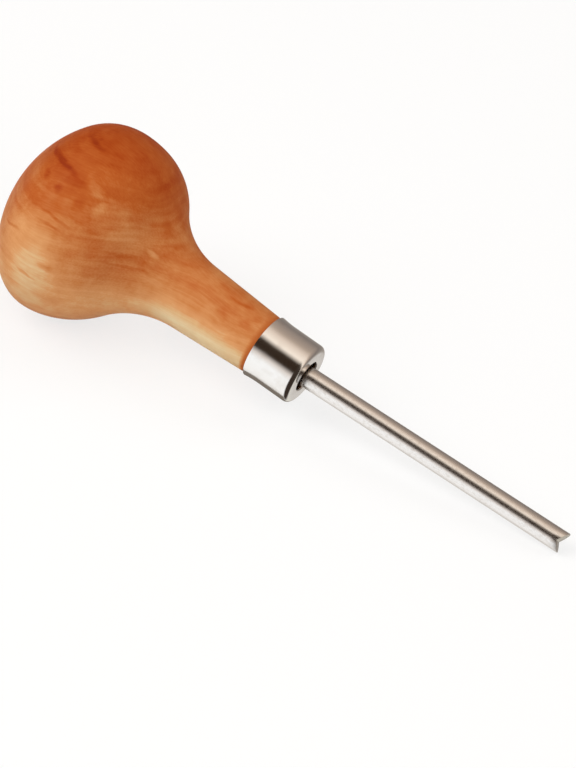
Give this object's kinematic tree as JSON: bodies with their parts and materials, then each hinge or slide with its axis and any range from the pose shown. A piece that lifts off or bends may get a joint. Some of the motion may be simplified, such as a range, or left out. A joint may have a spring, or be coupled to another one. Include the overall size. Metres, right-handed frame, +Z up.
{
  "type": "bezel pusher",
  "caption": "Jeweller's bezel pusher: V-notched plated steel rod in a turned wooden mushroom handle with a bright ferrule.",
  "frame": {"origin": "on the bench surface, under the middle of the lying tool's box", "axes": "+Z up from the bench, +X along the tool from the knob to the notched tip, +Y across it"},
  "size_m": [0.119, 0.0386, 0.0384],
  "materials": {
    "varnished_wood": "semi-gloss",
    "nickel_plate": "polished",
    "plated_steel": "satin-polished",
    "cured_glue": "glossy"
  },
  "bodies": {
    "root": {"handle": "varnished_wood", "ferrule": "nickel_plate", "pusher_rod": "plated_steel", "tang_glue": "cured_glue"}
  },
  "joints": []
}
